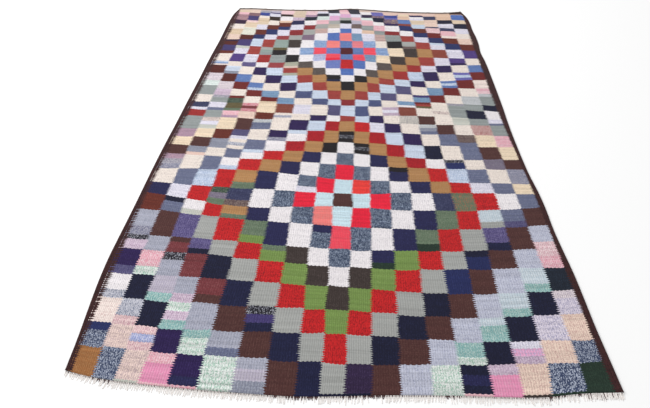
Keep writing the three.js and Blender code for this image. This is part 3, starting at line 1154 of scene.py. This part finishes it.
@dataclass(frozen=True)
class Swell:
    """A soft rise where the cloth doesn't lie quite flat, in millimetres of the measuring frame."""

    across: float
    along: float
    half_width: float
    half_length: float
    rise: float

    def at(self, x: float, y: float) -> float:
        """Gives the rise at one place.

        Args:
            x: Place across, in millimetres.
            y: Place along, in millimetres.

        Returns:
            The rise, in millimetres.
        """
        across = (x - self.across) / self.half_width
        along = (y - self.along) / self.half_length
        return self.rise * math.exp(-across * across - along * along)


@dataclass(frozen=True)
class Cloth:
    """The woven cloth with its side borders, corded selvedges, twined near edge and far hem.

    Sizes are in millimetres. Each profile gives the rise over plain cloth at insets from an edge.
    """

    layout: Layout
    chart: Chart
    finish: WoolFinish
    top: float = 3.2
    thickness: float = 2.5
    crown: float = 0.4
    border_ribs: float = 3.5
    border_reach: float = 1.4
    weft_pitch: float = 3.8
    row_wander: float = 3.5
    row_tilt: float = 5.0
    row_bow: float = 4.0
    line_wander: float = 5.0
    stepped: float = 1.3
    unevenness: float = 0.35
    joint_rise: float = 0.3
    border_shares: tuple[float, ...] = (1.0, 0.92, 0.82, 0.70, 0.58, 0.45, 0.30, 0.15)
    near_shares: tuple[float, ...] = (0.0, 0.024, 0.07)
    strip_shares: tuple[float, ...] = (33.5, 34.0, 34.29, 34.79, 35.0)
    selvedge: Curve = Curve((0, 2, 6, 10, 13, 40), (-0.6, 1.0, 1.8, 1.0, 0, 0))
    near_edge: Curve = Curve((0, 2, 6, 12, 40), (-0.6, 0.9, 0, 0, 0))
    far_hem: Curve = Curve((0, 3, 15, 19, 40), (-0.6, 1.2, 1.2, 0, 0))
    swells: tuple[Swell, ...] = (
        Swell(8, -1180, 55, 190, 1.6),
        Swell(0, -880, 60, 170, 1.2),
        Swell(-430, -640, 150, 90, 0.9),
        Swell(470, -120, 170, 110, 0.9),
        Swell(-250, 420, 160, 120, 0.8),
        Swell(330, 930, 150, 120, 1.0),
    )

    def column_places(self) -> list[float]:
        """Lists the grid's column places in checks, finer in the borders."""
        half_ribs = 2 * RIBS
        left = [-share for share in self.border_shares]
        field = [step / half_ribs for step in range(CHECK_COLUMNS * half_ribs + 1)]
        right = [CHECK_COLUMNS + share for share in reversed(self.border_shares)]
        return left + field + right

    def row_places(self) -> list[float]:
        """Lists the grid's row places in checks, finer at both woven ends."""
        field = [step / THIRDS for step in range(1, CHECK_ROWS * THIRDS + 1)]
        return [*self.near_shares, *field, *self.strip_shares]

    def wander(self, column: float, row: float) -> float:
        """Gives how far a row line strays within its check, easing over one rib at each side.

        Neighbouring ribs show opposite wefts, so the line also steps from rib to rib.

        Args:
            column: Column place in checks.
            row: Row place in checks.

        Returns:
            The stray along the rug, in metres.
        """
        if not 0 < row < CHECK_ROWS or not 0 <= column <= CHECK_COLUMNS:
            return 0.0
        line = min(int(column), CHECK_COLUMNS - 1)
        nearest = round(column)
        away = min(abs(column - nearest) * RIBS, 1.0)
        own = self.stray(line, row) + self.slant(line, row, column - line - 0.5)
        step = self.stepped * math.cos(math.pi * self.ribs_at(column))
        if nearest in (0, CHECK_COLUMNS):
            return (own + step) * away * MM
        shared = 0.5 * (self.stray(nearest - 1, row) + self.stray(nearest, row))
        return (lerp(shared, own, away) + step) * MM

    def stray(self, column: int, row: float) -> float:
        """Gives the stray of a row place in one check column.

        Args:
            column: Check column.
            row: Row place in checks.

        Returns:
            The stray, in millimetres.
        """
        first = int(row)
        ends = []
        for line in (first, first + 1):
            chance = random.Random(1000 * column + line).uniform(-1, 1)
            held = line in (0, CHECK_ROWS) or line in FAR_STRAYS
            ends.append(FAR_STRAYS.get(line, (0,) * CHECK_COLUMNS)[column] + self.row_wander * chance * (not held))
        return lerp(*ends, row - first)

    def slant(self, column: int, row: float, inset: float) -> float:
        """Gives the tilt and the bow of a row place in one check column.

        Args:
            column: Check column.
            row: Row place in checks.
            inset: Place across the check, from -0.5 to 0.5.

        Returns:
            The stray along the rug, in millimetres.
        """
        first = int(row)
        ends = []
        for line in (first, first + 1):
            chance = random.Random(7000 + 100 * column + line)
            tilt, bow = chance.uniform(-1, 1) * self.row_tilt, chance.uniform(-1, 0.4) * self.row_bow
            held = line in (0, CHECK_ROWS)
            ends.append((tilt * inset + bow * (0.5 - 4 * inset * inset)) * (not held))
        return lerp(*ends, row - first)

    def sideways(self, column: float, row: float) -> float:
        """Gives how far an upright line strays across the rug, none in the borders, in metres."""
        inside = smooth(2 * column) * smooth(2 * (CHECK_COLUMNS - column))
        return self.line_wander * inside * noise.noise(Vector((0.9 * column, 0.8 * row, 9.0))) * MM

    def ribs_at(self, column: float) -> float:
        """Counts the ribs from the left border's inner line to a column place."""
        if column < 0:
            return column * self.border_ribs
        if column > CHECK_COLUMNS:
            return CHECK_COLUMNS * RIBS + (column - CHECK_COLUMNS) * self.border_ribs
        return column * RIBS

    def tooth_reach(self, line: int) -> float:
        """Gives how many ribs the teeth of an upright line may reach, more at the left border."""
        return self.border_reach if line == 0 else 1.0

    def tooth_at(self, column: float) -> float:
        """Gives the place across the nearest dovetailed line, from -1 to 1, or 0 away from one.

        Args:
            column: Column place in checks.

        Returns:
            The place across the line, as a share of the reach of its teeth.
        """
        nearest = min(max(round(column), 0), CHECK_COLUMNS)
        away = (self.ribs_at(column) - self.ribs_at(nearest)) / self.tooth_reach(nearest)
        return away if abs(away) < 1.1 else 0.0

    def height(self, spot: Vector, column: float) -> float:
        """Gives the height of the cloth's face.

        Args:
            spot: Place on the floor, in metres.
            column: Column place in checks.

        Returns:
            The height, in millimetres.
        """
        outline = self.layout.outline
        corner = outline.near_left()
        x = (spot.x - corner.x) / MM + NEAR_LEFT_CORNER[0]
        y = (spot.y - corner.y) / MM + NEAR_LEFT_CORNER[1]
        from_side = min(spot.x - outline.left.at(spot.y), outline.right.at(spot.y) - spot.x) / MM
        from_near = (spot.y - outline.near.at(spot.x)) / MM
        from_far = (outline.far.at(spot.x) - spot.y) / MM
        edges = (
            (self.selvedge, from_side),
            (self.near_edge, from_near),
            (self.far_hem, from_far),
        )
        relief = sum(profile.at(min(max(inset, 0.0), 39.0)) for profile, inset in edges)
        relief = max(relief, -0.6)
        swell = sum(swell.at(x, y) for swell in self.swells)
        loose = smooth(from_side / 30) * smooth(from_near / 30) * smooth(from_far / 30)
        ribbing = 0.0
        if 0 <= column <= CHECK_COLUMNS:
            ribbing = self.crown * math.cos(2 * math.pi * self.ribs_at(column))
            ribbing += self.joint_rise * max(0.0, 1 - abs(column - round(column)) * RIBS)
        uneven = self.unevenness * noise.noise(Vector((x / 60, y / 60, 3.0)))
        return self.top + relief + loose * (ribbing + uneven + swell)

    def weave(self, sheet: bmesh.types.BMesh, columns: list[float], rows: list[float]) -> None:
        """Writes the yarns and the weave's counts on the flat grid.

        Args:
            sheet: The flat grid.
            columns: Column place of each grid column.
            rows: Row place of each grid row.
        """
        counts = sheet.verts.layers.float_vector.new("weave")
        seeds = sheet.faces.layers.float.new("seed")
        layers = {name: sheet.faces.layers.float_color.new(name)
                  for name in ("yarn_a", "yarn_b", "fleck_a", "fleck_b")}
        middle = self.layout.columns[0].at(0.0)
        wefts = [self.layout.along(9.5, row, middle + 0.75) / (self.weft_pitch * MM) for row in rows]
        for vertex in sheet.verts:
            column, row = grid_place(vertex.co, columns, rows)
            stray = self.wander(columns[column], rows[row]) / (self.weft_pitch * MM)
            vertex[counts] = Vector((
                self.ribs_at(columns[column]), wefts[row] + stray, self.tooth_at(columns[column])))
        for face in sheet.faces:
            low = face.verts[0].co.copy()
            high = low.copy()
            for vertex in face.verts:
                low = Vector(map(min, low, vertex.co))
                high = Vector(map(max, high, vertex.co))
            first, last = grid_place(low, columns, rows), grid_place(high, columns, rows)
            column = 0.5 * (columns[first[0]] + columns[last[0]])
            row = 0.5 * (rows[first[1]] + rows[last[1]])
            left, right = self.yarns_at(column, row)
            for letter, yarn in (("a", left), ("b", right)):
                dye = yarn.value
                face[layers["yarn_" + letter]] = (*linear(dye.ground), dye.flecked)
                face[layers["fleck_" + letter]] = (*linear(dye.fleck), dye.banded)
            face[seeds] = random.Random(100 * math.floor(column) + math.floor(row)).uniform(0, 50)

    def yarns_at(self, column: float, row: float) -> tuple[Yarn, Yarn]:
        """Finds the yarns left and right of the nearest upright line, or one yarn twice away from it.

        Args:
            column: Column place in checks.
            row: Row place in checks.

        Returns:
            The left and the right yarn.
        """
        own = self.chart.yarn(column, row)
        line = min(max(round(column), 0), CHECK_COLUMNS)
        if abs(self.ribs_at(column) - self.ribs_at(line)) >= self.tooth_reach(line):
            return own, own
        if column < line:
            return own, self.chart.yarn(line + 0.01, row)
        return self.chart.yarn(line - 0.01, row), own

    def build(self) -> bpy.types.Object:
        """Weaves the cloth as one sheet with its thickness.

        Returns:
            The cloth.
        """
        columns, rows = self.column_places(), self.row_places()
        sheet = bmesh.new()
        bmesh.ops.create_grid(sheet, x_segments=len(columns) - 1, y_segments=len(rows) - 1, size=0.5)
        self.weave(sheet, columns, rows)
        for vertex in sheet.verts:
            place = grid_place(vertex.co, columns, rows)
            column, row = columns[place[0]], rows[place[1]]
            spot = self.layout.spot(column, row)
            spot += Vector((self.sideways(column, row), self.wander(column, row)))
            vertex.co = (spot.x, spot.y, self.height(spot, column) * MM)
        piece = finished_piece("woven_cloth", sheet, self.finish.material())
        body = piece.modifiers.new("thickness", "SOLIDIFY")
        body.thickness = self.thickness * MM
        body.offset = -1.0
        body.use_rim = True
        return piece


def grid_place(corner: Vector, columns: list[float], rows: list[float]) -> tuple[int, int]:
    """Finds which grid column and row a corner of the flat grid lies on.

    Args:
        corner: The corner, on a grid one wide and one long.
        columns: Column place of each grid column.
        rows: Row place of each grid row.

    Returns:
        The numbers of the grid column and the grid row.
    """
    return round((corner.x + 0.5) * (len(columns) - 1)), round((corner.y + 0.5) * (len(rows) - 1))


class End(Enum):
    """The two woven ends; the value is the way that their warps run out of the cloth."""

    NEAR = -1
    FAR = 1


@dataclass(frozen=True)
class Strand:
    """One strand: its middle line and its radius at each point, in metres, and 1 if it is dark, partly real dark
    yarn and partly painted shade at the roots.
    """

    line: list[Vector]
    radii: list[float]
    wrap: float

    def corner(self, place: int, share: float) -> tuple[Vector, float]:
        """Finds one corner of the strand's skin.

        Args:
            place: Number of the point of the middle line.
            share: Share of the way round.

        Returns:
            The corner and the turn of the plies there.
        """
        before, after = self.line[max(place - 1, 0)], self.line[min(place + 1, len(self.line) - 1)]
        ahead = (after - before).normalized()
        outward = Vector((-ahead.y, ahead.x, 0.0)).normalized()
        turn = Matrix.Rotation(2 * math.pi * share, 3, ahead)
        run = (self.line[place] - self.line[0]).length
        return self.line[place] + (turn @ outward) * self.radii[place], run / (1.6 * MM) + math.pi * share


@dataclass(frozen=True)
class Fringe:
    """The bound warps and loose warp ends outside one woven end. Sizes are in millimetres."""

    name: str
    end: End
    edge: Curve
    finish: WarpFinish
    strands: int
    shortest: float
    longest: float
    cord_radius: float = 0.7
    cord_turn: float = 7.0
    cord_away: float = 1.6
    cord_step: float = 1.5
    strand_radius: float = 0.95
    tufts: tuple[float, ...] = ()
    tuft_length: float = 20.0
    # Share of the dark colour blended into the tufts that aren't dark strands, darkening them.
    tuft_darkening: float = 0.0
    # Stretches across with their share of dark strands, and how much shorter dark strands are: partly real dark
    # yarn at the corners, partly short dark specks of painted shade at the roots.
    dark_ends: tuple[tuple[float, float, float], ...] = ()
    dark_length: float = 0.45
    margin: float = 3.0
    sides: int = 5

    def dark_share(self, x: float) -> float:
        """Gives the share of dark strands at a place across, in metres."""
        return max((share for low, high, share in self.dark_ends if low * MM <= x <= high * MM), default=0.0)

    def twined_row(self) -> list[Strand]:
        """Lays the two-strand row that binds the warps along the woven end.

        Returns:
            Its two strands.
        """
        first, last = self.edge.places[0] + self.margin * MM, self.edge.places[-1] - self.margin * MM
        steps = int((last - first) / (self.cord_step * MM))
        strands = []
        for number in (0, 1):
            line = []
            for step in range(steps + 1):
                x = lerp(first, last, step / steps)
                turn = 2 * math.pi * (x - first) / (self.cord_turn * MM) + number * math.pi
                away = self.cord_away + self.cord_radius * 1.5 * math.cos(turn)
                rise = 1.9 * self.cord_radius + 0.75 * self.cord_radius * math.sin(turn)
                line.append(Vector((x, self.edge.at(x) + self.end.value * away * MM, rise * MM)))
            # The twined row is dark all along: partly a real dark thread, partly painted shade at the warp roots,
            # seen between the strands.
            strands.append(Strand(line, [self.cord_radius * MM] * len(line), 1.0))
        return strands

    def loose_end(self, x: float, length: float, lean: float, wrap: float) -> Strand:
        """Lays one loose warp end, which falls to the floor and lies on it.

        Args:
            x: Place across of its root, in metres.
            length: How far it runs out, in millimetres.
            lean: How far its tip strays sideways, in millimetres.
            wrap: 1 for dark, partly real dark yarn and partly painted shade at the roots, 0 for plain.

        Returns:
            The strand.
        """
        line, radii = [], []
        for step in range(6):
            share = step / 5
            away = lerp(0.4, length, share)
            radius = self.strand_radius * (1.0 - 0.3 * share**3)
            rise = max(lerp(2.6, radius, smooth(share * 2.2)), radius)
            across = x + lean * share**1.5 * MM
            line.append(Vector((across, self.edge.at(x) + self.end.value * away * MM, rise * MM)))
            radii.append(radius * MM)
        return Strand(line, radii, wrap)

    def loose_ends(self, chance: random.Random) -> list[Strand]:
        """Lays the loose warp ends, uneven in length and lean, and the longer tufts.

        Args:
            chance: The source of their unevenness.

        Returns:
            The strands.
        """
        first, last = self.edge.places[0] + self.margin * MM, self.edge.places[-1] - self.margin * MM
        strands = []
        for number in range(self.strands):
            x = lerp(first, last, (number + chance.uniform(-0.25, 0.25)) / (self.strands - 1))
            x = min(max(x, first), last)
            slow = 0.5 + 0.5 * noise.noise(Vector((x * 9, 0.0, 5.0 * self.end.value)))
            length = lerp(self.shortest, self.longest, 0.55 * slow + 0.45 * chance.random())
            lean = 7 * noise.noise(Vector((x * 14, 2.0, 0.0))) + chance.uniform(-2.2, 2.2)
            # Dark strands are short: partly dark yarn, partly painted shade at the roots.
            dark = chance.random() < self.dark_share(x)
            strands.append(self.loose_end(x, length * (self.dark_length if dark else 1.0), lean, float(dark)))
        for place in self.tufts:
            for turn in (-2, -1, 0, 1, 2):
                length = self.tuft_length * chance.uniform(0.75, 1.0)
                dark = chance.random() < self.dark_share(place * MM)
                wrap = 1.0 if dark else self.tuft_darkening
                strands.append(self.loose_end((place + turn * 2.6) * MM, length, turn * 1.4, wrap))
        return strands

    def build(self) -> bpy.types.Object:
        """Rolls all the strands from one long grid, cut between them.

        Returns:
            The fringe.
        """
        strands = self.twined_row() + self.loose_ends(random.Random(11 + self.end.value))
        shape = bmesh.new()
        twist = shape.verts.layers.float.new("twist")
        dark = shape.faces.layers.float.new("wrap")
        steps = [(strand, step) for strand in strands for step in range(len(strand.line))]
        made = bmesh.ops.create_grid(shape, x_segments=self.sides, y_segments=len(steps) - 1, size=0.5)
        owner = {}
        for number, vertex in enumerate(made["verts"]):
            step, side = divmod(number, self.sides + 1)
            strand, place = steps[step]
            vertex.co, vertex[twist] = strand.corner(place, side / self.sides)
            owner[vertex] = strand
        for face in shape.faces:
            face[dark] = owner[face.verts[0]].wrap
        cuts = [face for face in shape.faces if len({id(owner[vertex]) for vertex in face.verts}) > 1]
        bmesh.ops.delete(shape, geom=cuts, context="FACES")
        bmesh.ops.remove_doubles(shape, verts=shape.verts, dist=0.01 * MM)
        rims = [edge for edge in shape.edges if edge.is_boundary]
        bmesh.ops.holes_fill(shape, edges=rims, sides=self.sides)
        bmesh.ops.recalc_face_normals(shape, faces=shape.faces)
        return finished_piece(self.name, shape, self.finish.material())


@dataclass(frozen=True)
class Studio:
    """A plain pale floor, soft light and the camera at the photograph's angle.

    The camera's place is in millimetres of the measuring frame, its turns in radians.
    """

    layout: Layout
    eye: tuple[float, float, float] = (43.76, -2084.29, 1278.5)
    yaw: float = -0.06433519
    pitch: float = 0.71583477
    roll: float = -0.01925667
    focal_pixels: float = 512.16
    image_width: float = 650.0
    sensor: float = 36.0
    floor_half: float = 9.0
    floor_tone: float = 0.97
    sky: float = 0.705

    def camera(self) -> None:
        """Makes the camera and hands it to the scene."""
        corner = self.layout.outline.near_left()
        data = bpy.data.cameras.new("camera")
        data.sensor_fit = "HORIZONTAL"
        data.sensor_width = self.sensor
        data.lens = self.sensor * self.focal_pixels / self.image_width
        camera = bpy.data.objects.new("camera", data)
        place = Vector((
            (self.eye[0] - NEAR_LEFT_CORNER[0]) * MM + corner.x,
            (self.eye[1] - NEAR_LEFT_CORNER[1]) * MM + corner.y,
            self.eye[2] * MM,
        ))
        aim = Matrix.Rotation(-self.yaw, 4, "Z") @ Matrix.Rotation(math.pi / 2 - self.pitch, 4, "X")
        camera.matrix_world = Matrix.Translation(place) @ aim @ Matrix.Rotation(self.roll, 4, "Z")
        bpy.context.scene.collection.objects.link(camera)
        bpy.context.scene.camera = camera

    def floor(self) -> None:
        """Makes the floor."""
        shape = bmesh.new()
        bmesh.ops.create_grid(shape, x_segments=8, y_segments=8, size=self.floor_half)
        paper = Shades("pale_floor")
        paper.surface.inputs["Base Color"].default_value = (*[self.floor_tone] * 3, 1.0)
        paper.surface.inputs["Roughness"].default_value = 1.0
        paper.surface.inputs["Specular IOR Level"].default_value = 0.0
        floor = finished_piece("floor", shape, paper.material)

    def light(self, name: str, place: tuple[float, float, float], size: float, power: float) -> None:
        """Adds one soft light aimed at the rug's middle.

        Args:
            name: The light's name.
            place: Where it hangs, in metres.
            size: Its width, in metres.
            power: Its power, in watts.
        """
        data = bpy.data.lights.new(name, "AREA")
        data.size = size
        data.energy = power
        lamp = bpy.data.objects.new(name, data)
        lamp.location = place
        lamp.rotation_euler = (-Vector(place)).to_track_quat("-Z", "Y").to_euler()
        bpy.context.scene.collection.objects.link(lamp)

    def build(self) -> None:
        """Sets up the floor, the light and the camera."""
        world = bpy.data.worlds.new("studio")
        world.use_nodes = True
        world.node_tree.nodes["Background"].inputs["Color"].default_value = (1.0, 1.0, 1.0, 1.0)
        world.node_tree.nodes["Background"].inputs["Strength"].default_value = self.sky
        bpy.context.scene.world = world
        bpy.context.scene.view_settings.view_transform = "Standard"
        self.floor()
        self.light("side_window", (-4.5, 0.8, 3.2), 2.5, 215.0)
        self.light("far_fill", (1.5, 4.5, 4.0), 3.0, 45.0)
        self.camera()


def main() -> None:
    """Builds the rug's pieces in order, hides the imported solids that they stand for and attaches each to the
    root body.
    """
    logging.basicConfig(level=logging.INFO, format="%(relativeCreated)d %(name)s: %(message)s")
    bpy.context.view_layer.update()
    layout = Layout.on_outline(Outline.of_cloth(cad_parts["cloth"].data))
    chart = Chart.from_words(NEAR_MEDALLION, FAR_MEDALLION, PATCHES)
    Studio(layout).build()
    log.info("studio ready")
    cloth = Cloth(layout, chart, WoolFinish()).build()
    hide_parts("cloth")
    log.info("cloth: %d faces before its thickness", len(cloth.data.polygons))
    warp = WarpFinish()
    near = Fringe("near_warp_ends", End.NEAR, layout.outline.near, warp, 390, 7, 30,
                  tufts=(690, 701, 712, 723, 734, 745, 756, 767),
                  dark_ends=((-660, -600, 0.5), (-160, -20, 0.5), (20, 150, 0.35), (290, 400, 0.25),
                             (560, 680, 0.3), (685, 775, 0.3))).build()
    far = Fringe("far_warp_ends", End.FAR, layout.outline.far, warp, 380, 6, 12,
                 tufts=(-712, -662, -560, -455, -372, -290, -158, -58, 18, 62, 176, 262, 530, 640),
                 tuft_darkening=0.3).build()
    for piece, node in ((near, "fringe_near"), (far, "fringe_far")):
        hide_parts(node)
        log.info("%s: %d faces", piece.name, len(piece.data.polygons))
    for piece in (cloth, near, far):
        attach(piece, "root")


if __name__ == "__main__":
    main()
